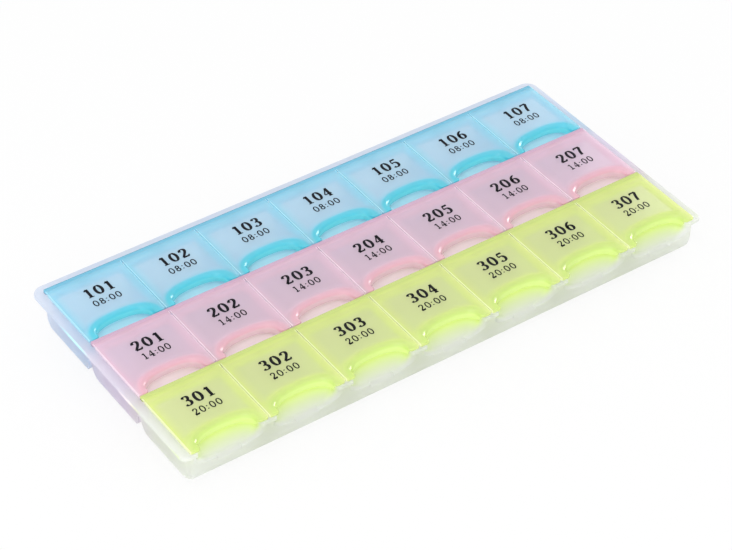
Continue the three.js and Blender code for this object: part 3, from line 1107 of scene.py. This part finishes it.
    def mark_painted_lid_light(self, tray: bpy.types.Object) -> None:
        """Paints the lids' tinted light on the scoops' walls, as a colour in a point attribute: painted
        light.

        Its alpha is its strength. It fills the closed scoops of the rows behind, and lightens them where they
        lie in shade. In the front row, whose scoops are open to the daylight, it grows with smoothsteps of
        the height and of the depth.

        Args:
            tray: The finished tray.
        """
        count = len(tray.data.vertices)
        points = np.empty(count * 3, np.float32)
        tray.data.vertices.foreach_get("co", points)
        points = points.reshape(-1, 3) / MM
        row = (points[:, 1] - self.grid.front) // self.grid.row_pitch
        row = np.clip(row, 0, len(DayPart) - 1).astype(int)
        depth = points[:, 1] - self.grid.front - row * self.grid.row_pitch
        across = (points[:, 0] + self.grid.half_length) % self.grid.column_pitch
        across = np.abs(across - self.grid.column_pitch / 2)
        inside = (depth < self.scoop_depth + self.painted_lid_light_margin) & (depth > 0)
        inside &= across < self.scoop_half_width + self.lip_radius
        inside &= points[:, 2] < self.grid.deck_top - self.painted_lid_light_drop
        strength = smooth((points[:, 2] - self.painted_lid_light_foot) / self.painted_lid_light_rise)
        strength *= smooth((depth - self.painted_lid_light_front) / self.painted_lid_light_turn)
        strength = np.where(row > 0, 1.0, strength)
        # Colour and strength of the painted light, from the lids of each row.
        colours = np.array([linear(LID_PLASTICS[part].painted_lid_light) for part in DayPart])[row]
        colours[:, 3] = np.where(inside, strength, 0.0)
        attribute = tray.data.attributes.new("painted_lid_light", "FLOAT_COLOR", "POINT")
        attribute.data.foreach_set("color", colours.astype(np.float32).ravel())


# ---------------------------------------------------------------- lid mouldings


@dataclass
class LidShape:
    """One lid, in the frame of its cell: a plate, the arch's rounded edge and skirt, and the plug below."""

    grid: CellGrid = GRID
    half_width: float = 14.88
    front: float = 0.15
    back: float = 29.1
    corner_radius: float = 0.9
    back_corner_radius: float = 0.8
    shoulder_radius: float = 1.3
    shoulder_land: float = 0.2
    edge_step: float = 0.9
    arch_margin: tuple = (0.05, 0.1)
    edge_radius: float = 0.4
    arch_edge_radius: float = 2.0
    growth_start: float = 0.4
    growth_way: float = 3.0
    skirt_way: float = 2.2
    skirt_thickness: float = 1.0
    skirt_drop: float = 3.4
    foot_radius: float = 0.3
    foot_land: float = 0.02
    root_radius: float = 0.4
    land: float = 0.25
    plug_half_width: float = 14.0
    plug_back: float = 28.25
    plug_corner_radius: float = 2.0
    plug_wall_half_width: float = 15.35
    plug_wall_depth: float = 9.7
    plug_thickness: float = 0.9
    plug_depth: float = 1.6
    plug_front_radius: float = 0.5
    plug_edge_radius: float = 0.25
    plug_land: float = 0.8
    plug_step: float = 1.5
    plug_seat: float = 0.01

    @property
    def thickness(self) -> float:
        """Thickness of the plate."""
        return self.grid.lid_top - self.grid.lid_under

    def edge(self) -> np.ndarray:
        """Draws the lid, counterclockwise: back, left side, left pad, arch, right pad, right side.

        Returns:
            The outline.
        """
        curve = arch(self.grid.arch_half_width, self.grid.arch_depth, steps=56)[::-1]
        curve = curve[curve[:, 1] > self.front + self.shoulder_radius + self.shoulder_land]
        half, near, notch = self.half_width, self.front, self.grid.arch_half_width
        corners = [(half, self.back, self.back_corner_radius), (-half, self.back, self.back_corner_radius),
                   (-half, near, self.corner_radius), (-notch, near, self.shoulder_radius)]
        corners += [tuple(point) for point in curve]
        corners += [(notch, near, self.shoulder_radius), (half, near, self.corner_radius)]
        return dense(rounded(corners, steps=7), self.edge_step)

    def plate(self) -> Shell:
        """Carries one profile round the outline for plate, rounded edges and skirt.

        It grows into the skirt on the arch. Its top is a quarter circle, with inset r(1 - sin) and drop
        r(1 - cos), and then it hangs to its foot.

        Returns:
            The closed shell.
        """
        outline = self.edge()
        normal = outward(outline)
        inside = np.abs(outline[:, 0]) < self.grid.arch_half_width + self.arch_margin[0]
        inside &= outline[:, 1] < self.grid.arch_depth + self.arch_margin[1]
        way = outline[:, 1] - self.front
        growth = np.where(inside, smooth((way - self.growth_start) / self.growth_way), 0.0)
        hanging = np.where(inside, smooth(way / self.skirt_way), 0.0)
        radius = self.edge_radius + (self.arch_edge_radius - self.edge_radius) * growth
        depth = self.thickness
        hang = depth + (self.skirt_drop - depth) * hanging
        foot = self.foot_radius
        inner_foot = np.minimum(foot, (hang - depth) / 2)
        root = np.minimum(self.root_radius, (hang - depth) / 2)
        wall = foot + self.foot_land + (self.skirt_thickness - foot - self.foot_land) * hanging
        small = quarter(steps=3)
        insets, drops = [radius + self.land], [np.zeros_like(radius)]
        for turn in quarter(steps=8):
            insets.append(radius * (1 - math.sin(turn)))
            drops.append(radius * (1 - math.cos(turn)))
        for turn in small:
            insets.append(np.full_like(radius, foot * (1 - math.cos(turn))))
            drops.append(hang - foot * (1 - math.sin(turn)))
        for turn in small:
            insets.append(wall - inner_foot * (1 - math.sin(turn)))
            drops.append(hang - inner_foot * (1 - math.cos(turn)))
        for turn in small:
            insets.append(wall + root * (1 - math.cos(turn)))
            drops.append(depth + root * (1 - math.sin(turn)))
        insets.append(wall + root + self.land)
        drops.append(np.full_like(radius, depth))
        inset, drop = np.array(insets)[::-1], np.array(drops)[::-1]
        rings = np.empty((len(inset), len(outline), 3))
        rings[:, :, :2] = outline - inset[:, :, None] * normal
        rings[:, :, 2] = self.grid.lid_top - drop
        return loft(rings)

    def plug(self) -> Shell:
        """Makes the rib that plugs the compartment: a closed profile carried round the mouth's outline.

        Returns:
            The closed shell.
        """
        half = self.plug_half_width
        front = arch_height(self.plug_wall_half_width, self.plug_wall_depth, half)
        curve = arch(self.plug_wall_half_width, self.plug_wall_depth, steps=36)
        curve = curve[np.abs(curve[:, 0]) < half - self.plug_land][::-1]
        back, near = (self.plug_back, self.plug_corner_radius), (front, self.plug_front_radius)
        corners = [(half, *back), (-half, *back), (-half, *near), *(tuple(point) for point in curve),
                   (half, *near)]
        outline = dense(rounded(corners, steps=5), self.plug_step)
        normal = outward(outline)
        top = self.grid.lid_under + self.plug_seat
        foot, edge = self.grid.lid_under - self.plug_depth, self.plug_edge_radius
        wall = self.plug_thickness
        profile = rounded([(0.0, top), (0.0, foot, edge), (wall, foot, edge), (wall, top)], steps=3)
        rings = np.empty((len(profile), len(outline), 3))
        rings[:, :, :2] = outline - profile[:, 0, None, None] * normal
        rings[:, :, 2] = profile[:, 1, None]
        return rings[::-1].reshape(-1, 3), grid_quads(len(profile), len(outline), True)


@dataclass(frozen=True)
class Stroke:
    """One pen stroke of a digit, in cap heights: a smooth curve through points."""

    points: tuple
    weight: float = 1.0
    closed: bool = False


def ring_stroke(x: float, y: float, wide: float, high: float, steps: int = 16) -> Stroke:
    """An oval stroke with half axes round a middle."""
    turn = np.linspace(0, 2 * math.pi, steps + 1)[:-1]
    return Stroke(tuple(zip(x + wide * np.cos(turn), y + high * np.sin(turn))), closed=True)


DIGIT_WIDTHS = {":": 0.3}
DIGITS = {
    "0": (ring_stroke(0.33, 0.5, 0.25, 0.46),),
    "1": (Stroke(((0.36, 0.0), (0.36, 0.98))), Stroke(((0.13, 0.83), (0.24, 0.87), (0.34, 0.96))),
          Stroke(((0.15, 0.03), (0.57, 0.03)))),
    "2": (Stroke(((0.1, 0.72), (0.15, 0.89), (0.32, 0.965), (0.49, 0.88), (0.51, 0.7), (0.4, 0.48),
                  (0.22, 0.25), (0.08, 0.06))),
          Stroke(((0.06, 0.06), (0.56, 0.06)), 1.9), Stroke(((0.55, 0.05), (0.6, 0.22)), 0.5)),
    "3": (Stroke(((0.1, 0.8), (0.19, 0.93), (0.33, 0.965), (0.48, 0.88), (0.48, 0.7), (0.38, 0.57),
                  (0.23, 0.53))),
          Stroke(((0.23, 0.53), (0.42, 0.49), (0.53, 0.33), (0.49, 0.13), (0.32, 0.03), (0.15, 0.06),
                  (0.07, 0.17)))),
    "4": (Stroke(((0.44, 0.0), (0.44, 1.0))), Stroke(((0.42, 0.98), (0.25, 0.66), (0.05, 0.31)), 0.5),
          Stroke(((0.04, 0.29), (0.63, 0.29)), 1.4), Stroke(((0.28, 0.03), (0.6, 0.03)))),
    "5": (Stroke(((0.14, 0.93), (0.54, 0.94)), 2.0), Stroke(((0.14, 0.95), (0.1, 0.56)), 0.45),
          Stroke(((0.1, 0.55), (0.24, 0.62), (0.42, 0.57), (0.53, 0.38), (0.49, 0.15), (0.33, 0.03),
                  (0.16, 0.05), (0.07, 0.16)))),
    "6": (ring_stroke(0.34, 0.31, 0.22, 0.28),
          Stroke(((0.55, 0.96), (0.4, 0.91), (0.22, 0.74), (0.13, 0.52), (0.12, 0.33)))),
    "7": (Stroke(((0.07, 0.93), (0.58, 0.93)), 1.9), Stroke(((0.08, 0.95), (0.06, 0.78)), 0.5),
          Stroke(((0.56, 0.92), (0.43, 0.62), (0.33, 0.32), (0.28, 0.0)))),
    "8": (ring_stroke(0.33, 0.74, 0.18, 0.22), ring_stroke(0.33, 0.27, 0.22, 0.24)),
    ":": (Stroke(((0.12, 0.1), (0.12, 0.24))), Stroke(((0.12, 0.56), (0.12, 0.7)))),
}


@dataclass(frozen=True)
class PrintLine:
    """A line of plain numbers, drawn with a pen that is broad on uprights and narrow on level strokes."""

    cap_height: float
    baseline: float
    broad: float
    narrow: float
    gap: float
    digit_width: float = 0.66
    middle: float = 0.9
    ink: float = 0.025
    sunk: float = 0.01
    steps: int = 5

    def spline(self, stroke: Stroke) -> np.ndarray:
        """Draws the curve through a stroke's points.

        Each stretch is the cubic whose slope at a point is half the step between that point's neighbours.

        Args:
            stroke: The stroke.

        Returns:
            The curve's points.
        """
        given = np.array(stroke.points)
        if stroke.closed:
            held = np.concatenate([given[-1:], given, given[:2]])
        else:
            held = np.concatenate([2 * given[:1] - given[1:2], given, 2 * given[-1:] - given[-2:-1]])
        p0, p1, p2, p3 = (held[k:len(held) - 3 + k, None] for k in range(4))
        t = np.arange(self.steps)[None, :, None] / self.steps
        curve = 0.5 * (2 * p1 + (p2 - p0) * t + (2 * p0 - 5 * p1 + 4 * p2 - p3) * t ** 2
                       + (3 * p1 - p0 - 3 * p2 + p3) * t ** 3)
        curve = curve.reshape(-1, 2)
        return curve if stroke.closed else np.concatenate([curve, given[-1:]])

    def ribbon(self, stroke: Stroke, left: float) -> Shell:
        """Makes a thin closed band. Its half width is narrow + (broad - narrow) times the tangent's rise.

        Args:
            stroke: The stroke.
            left: X of the digit's left side.

        Returns:
            The band.
        """
        path = self.spline(stroke)
        if stroke.closed:
            along = np.roll(path, -1, axis=0) - np.roll(path, 1, axis=0)
        else:
            along = np.gradient(path, axis=0)
        along /= np.linalg.norm(along, axis=1, keepdims=True)
        half = (self.narrow + (self.broad - self.narrow) * np.abs(along[:, 1])) * stroke.weight
        side = np.stack([-along[:, 1], along[:, 0]], -1) * half[:, None]
        low, high = GRID.lid_top - self.sunk, GRID.lid_top + self.ink
        rings = np.empty((len(path), 4, 3))
        edges = np.stack([path - side, path + side, path + side, path - side], 1)
        rings[:, :, :2] = edges * self.cap_height + np.array([left, self.baseline])
        rings[:, :, 2] = (low, low, high, high)
        if stroke.closed:
            return rings.reshape(-1, 3), grid_quads(len(path), 4, True)
        return loft(rings)

    def build(self, text: str) -> Shell:
        """Sets a line of numbers round the cell's middle.

        Args:
            text: The numbers.

        Returns:
            The line in the frame of its cell.
        """
        widths = [DIGIT_WIDTHS.get(digit, self.digit_width) * self.cap_height for digit in text]
        left = self.middle - (sum(widths) + self.gap * self.cap_height * (len(text) - 1)) / 2
        shells = []
        for digit, width in zip(text, widths):
            shells += [self.ribbon(stroke, left) for stroke in DIGITS[digit]]
            left += width + self.gap * self.cap_height
        return together(shells)


HOURS = {DayPart.MORNING: "08:00", DayPart.NOON: "14:00", DayPart.NIGHT: "20:00"}
FIRST_NUMBERS = {DayPart.MORNING: 101, DayPart.NOON: 201, DayPart.NIGHT: 301}
NUMBER_LINE = PrintLine(cap_height=4.7, baseline=18.8, broad=0.116, narrow=0.043, gap=0.2)
HOUR_LINE = PrintLine(cap_height=3.0, baseline=13.8, broad=0.08, narrow=0.068, gap=0.16)


@dataclass
class LidMoulding:
    """One coloured moulding: the hinge strip, its living hinges and seven lids."""

    part: DayPart
    grid: CellGrid = GRID
    shape: LidShape = field(default_factory=LidShape)
    strip_front: float = 30.1
    strip_back: float = 31.8
    strip_end: float = 104.75
    strip_edge: float = 0.32
    strip_foot_edge: float = 0.1
    strip_gap: float = 0.02
    tab_half_length: float = 2.0
    tab_from: float = 30.25
    tab_to: float = 30.95
    tab_foot: float = 13.0
    tab_root: float = 0.05
    web_half_width: float = 14.8
    web_thickness: float = 0.4
    web_drop: float = 0.05
    web_overlap: float = 0.24
    web_steps: int = 12

    def build(self, material: bpy.types.Material, ink: bpy.types.Material) -> list[bpy.types.Object]:
        """Makes the strip, the hinges, the lids and their print.

        Args:
            material: The moulding's plastic.
            ink: The print's ink.

        Returns:
            All pieces.
        """
        made = [self.strip(material)]
        lid = together([self.shape.plate(), self.shape.plug()])
        for column in range(self.grid.columns):
            made.append(self.lid(column, lid, material))
            made.append(self.web(column, material))
            made.append(self.label(column, ink))
        return made

    def strip(self, material: bpy.types.Material) -> bpy.types.Object:
        """Makes the bar on the deck, with its tabs: a rounded section drawn in by r(1 - cos) at both ends.

        Args:
            material: The moulding's plastic.

        Returns:
            The strip.
        """
        front = self.grid.row_front(self.part)
        low, high, edge = self.grid.deck_top + self.strip_gap, self.grid.lid_top, self.strip_edge
        foot, near, far = self.strip_foot_edge, front + self.strip_front, front + self.strip_back
        corners = [(near, low, foot), (far, low, foot), (far, high, edge), (near, high, edge)]
        section = rounded(corners, steps=5)
        turn = quarter(steps=4)[::-1]
        inset, step = edge * (1 - np.cos(turn)), edge * (1 - np.sin(turn))
        along = np.concatenate([step - self.strip_end, self.strip_end - step[::-1]])
        inset = np.concatenate([inset, inset[::-1]])
        rings = np.empty((len(along), len(section), 3))
        rings[:, :, 0] = along[:, None]
        rings[:, :, 1:] = section - inset[:, None, None] * outward(section)
        shells = [loft(rings)]
        for column in range(self.grid.columns):
            x = self.grid.centre(column)
            shells.append(block((x - self.tab_half_length, front + self.tab_from, self.tab_foot),
                                (x + self.tab_half_length, front + self.tab_to, low + self.tab_root)))
        strip = mesh_object(f"{self.part.label}_strip", together(shells), material)
        mark_cell(strip, 0.0, front + self.strip_back - self.shape.back, strip=True)
        soften(strip)
        node = f"{self.part.label}_hinge_strip"
        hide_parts(node)
        f"{self.part.label}_lid_plastic"
        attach(strip, "tray")
        return strip

    def lid(self, column: int, shell: Shell, material: bpy.types.Material) -> bpy.types.Object:
        """Makes a lid in its place, riding on its body.

        Args:
            column: The column.
            shell: The lid in the frame of its cell.
            material: The moulding's plastic.

        Returns:
            The lid.
        """
        node = f"{self.part.label}_lid_{column + 1}"
        place = moved(shell, self.grid.centre(column), self.grid.row_front(self.part))
        lid = mesh_object(f"{node}_flap", place, material)
        mark_cell(lid, self.grid.centre(column), self.grid.row_front(self.part))
        soften(lid)
        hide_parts(node)
        f"{self.part.label}_lid_plastic"
        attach(lid, node)
        return lid

    def label(self, column: int, ink: bpy.types.Material) -> bpy.types.Object:
        """Prints the numbers on a lid.

        Args:
            column: The column.
            ink: The print's ink.

        Returns:
            The print.
        """
        node = f"{self.part.label}_lid_{column + 1}"
        number = str(FIRST_NUMBERS[self.part] + column)
        lines = together([NUMBER_LINE.build(number), HOUR_LINE.build(HOURS[self.part])])
        place = moved(lines, self.grid.centre(column), self.grid.row_front(self.part))
        label = mesh_object(f"{node}_print", place, ink)
        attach(label, node)
        return label

    def web(self, column: int, material: bpy.types.Material) -> bpy.types.Object:
        """Makes a living hinge: a thin strip in steps along Y, between the tray and the lid.

        Args:
            column: The column.
            material: The moulding's plastic.

        Returns:
            The hinge's web.
        """
        front, x = self.grid.row_front(self.part), self.grid.centre(column)
        left, right = x - self.web_half_width, x + self.web_half_width
        top = self.grid.lid_top - self.web_drop
        under = top - self.web_thickness
        section = np.array([(left, under), (right, under), (right, top), (left, top)])
        along = np.linspace(front + self.strip_front + self.web_overlap,
                            front + self.shape.back - self.web_overlap, self.web_steps + 1)
        rings = np.empty((len(along), 4, 3))
        rings[:, :, 1] = along[:, None]
        rings[:, :, [0, 2]] = section
        web = mesh_object(f"{self.part.label}_hinge_{column + 1}", loft(rings), material)
        mark_cell(web, x, front)
        soften(web)
        f"{self.part.label}_lid_plastic"
        f"{self.part.label}_lid_{column + 1}"
        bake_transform(web)
        return web


# ---------------------------------------------------------------- studio


@dataclass(frozen=True)
class Lamp:
    """A square soft lamp that faces the organizer. Its place and side are in metres, its power in watts.

    Where it doesn't light, it is a card that only shows as a gleam in glossy faces.
    """

    name: str
    place: tuple
    power: float
    size: float
    lights: bool = True

    def hang(self) -> None:
        """Makes the lamp."""
        data = bpy.data.lights.new(self.name, "AREA")
        data.energy, data.size = self.power, self.size
        lamp = bpy.data.objects.new(self.name, data)
        lamp.visible_diffuse = self.lights
        lamp.location = self.place
        lamp.rotation_euler = (-Vector(self.place)).to_track_quat("-Z", "Y").to_euler()
        bpy.context.scene.collection.objects.link(lamp)


@dataclass
class Studio:
    """Pale floor, soft lamps and the camera at the photograph's place.

    Angles are in degrees, and the camera's shifts and distance in millimetres.
    """

    lamps: tuple = (Lamp("key", (-0.35, -0.34, 0.9), 0.9, 0.3), Lamp("front", (-0.72, -0.75, 0.35), 3.4, 0.9),
                    Lamp("right", (0.82, 0.24, 0.42), 0.15, 0.25),
                    Lamp("gleam", (0.95, 0.2, 0.18), 7.0, 0.5, lights=False))
    azimuth: float = -35.35
    elevation: float = 40.632
    roll: float = 0.678
    focal_pixels: float = 2425.4
    shift_right: float = 3.094
    shift_down: float = -7.838
    distance: float = 843.71
    frame_width: float = 732.0
    sensor: float = 36.0
    clip: tuple = (0.01, 20.0)
    white: str = "#ffffff"
    floor_colour: str = "#eeeeee"
    floor_white: float = 0.85
    floor_half: float = 4000.0
    floor_drop: float = 0.05
    surround_light: float = 1.0
    clear_bounces: int = 32
    bounces: int = 14
    diffuse_bounces: int = 10

    def camera(self) -> None:
        """Places the camera so that the lids' middle lies where it does in the photograph."""
        across, up = math.radians(self.azimuth), math.radians(self.elevation)
        back = Vector((math.sin(across) * math.cos(up), -math.cos(across) * math.cos(up), math.sin(up)))
        right = Vector((math.cos(across), math.sin(across), 0))
        above = back.cross(right)
        turn = math.radians(self.roll)
        rolled = right * math.cos(turn) + above * math.sin(turn)
        above = above * math.cos(turn) - right * math.sin(turn)
        target = Vector((0, GRID.front + GRID.depth / 2, GRID.lid_top))
        place = target - rolled * self.shift_right + above * self.shift_down + back * self.distance
        data = bpy.data.cameras.new("camera")
        data.sensor_width = self.sensor
        data.lens = self.focal_pixels * self.sensor / self.frame_width
        data.clip_start, data.clip_end = self.clip
        camera = bpy.data.objects.new("camera", data)
        turned = Matrix((rolled, above, back)).transposed().to_4x4()
        camera.matrix_world = Matrix.Translation(place * MM) @ turned
        bpy.context.scene.collection.objects.link(camera)
        bpy.context.scene.camera = camera

    def floor(self) -> None:
        """Lays a white floor that keeps a faint shadow. It is clear from below, to show the underside."""
        sheet = NodeSheet(bpy.data.materials.new("white_floor"))
        paper = sheet.add("BsdfDiffuse", {"Color": self.floor_colour})
        glow = sheet.add("Emission", {"Color": self.white, "Strength": 1.0})
        path = sheet.add("LightPath").outputs
        seen = sheet.add("Math", (path["Is Camera Ray"], path["Is Glossy Ray"]), operation="MAXIMUM")
        white = sheet.add("Math", (seen, self.floor_white), operation="MULTIPLY")
        above = sheet.add("MixShader", (white, paper, glow))
        below = sheet.add("NewGeometry").outputs["Backfacing"]
        clear = sheet.add("BsdfTransparent")
        sheet.add("OutputMaterial", {"Surface": sheet.add("MixShader", (below, above, clear))})
        half = self.floor_half
        corners = np.array([(-half, -half), (half, -half), (half, half), (-half, half)])
        corners = np.column_stack([corners, np.full(len(corners), -self.floor_drop)])
        mesh_object("floor", (corners, [[0, 1, 2, 3]]), sheet.owner)

    def world(self) -> None:
        """Hangs a plain white surround."""
        sheet = NodeSheet(bpy.data.worlds.new("surround"))
        path = sheet.add("LightPath").outputs
        seen = sheet.add("Math", (path["Is Camera Ray"], path["Is Glossy Ray"]), operation="MAXIMUM")
        seen = sheet.add("Math", (seen, path["Is Transmission Ray"]), operation="MAXIMUM")
        strength = sheet.add("MapRange", (seen, 0.0, 1.0, self.surround_light, 1.0))
        light = sheet.add("Background", {"Color": self.white, "Strength": strength})
        sheet.add("OutputWorld", {"Surface": light})
        bpy.context.scene.world = sheet.owner

    def build(self) -> None:
        """Sets up the camera, the floor, the surround, the lamps and how light travels."""
        self.camera()
        self.floor()
        self.world()
        for lamp in self.lamps:
            lamp.hang()
        scene = bpy.context.scene
        scene.view_settings.view_transform = "Standard"
        scene.cycles.transparent_max_bounces = self.clear_bounces
        scene.cycles.max_bounces = self.bounces
        scene.cycles.diffuse_bounces = self.diffuse_bounces


def main() -> None:
    """Builds the organizer and its studio, and reports each piece."""
    logging.basicConfig(level=logging.INFO, format="%(message)s")
    tray = Tray().build(NaturalPolypropylene().build())
    LOG.info("%s: %d faces", tray.name, len(tray.data.polygons))
    ink = PadInk().build()
    for part in DayPart:
        pieces = LidMoulding(part).build(LID_PLASTICS[part].build(), ink)
        LOG.info("%s: %d pieces", part.label, len(pieces))
    Studio().build()


if __name__ == "__main__":
    main()
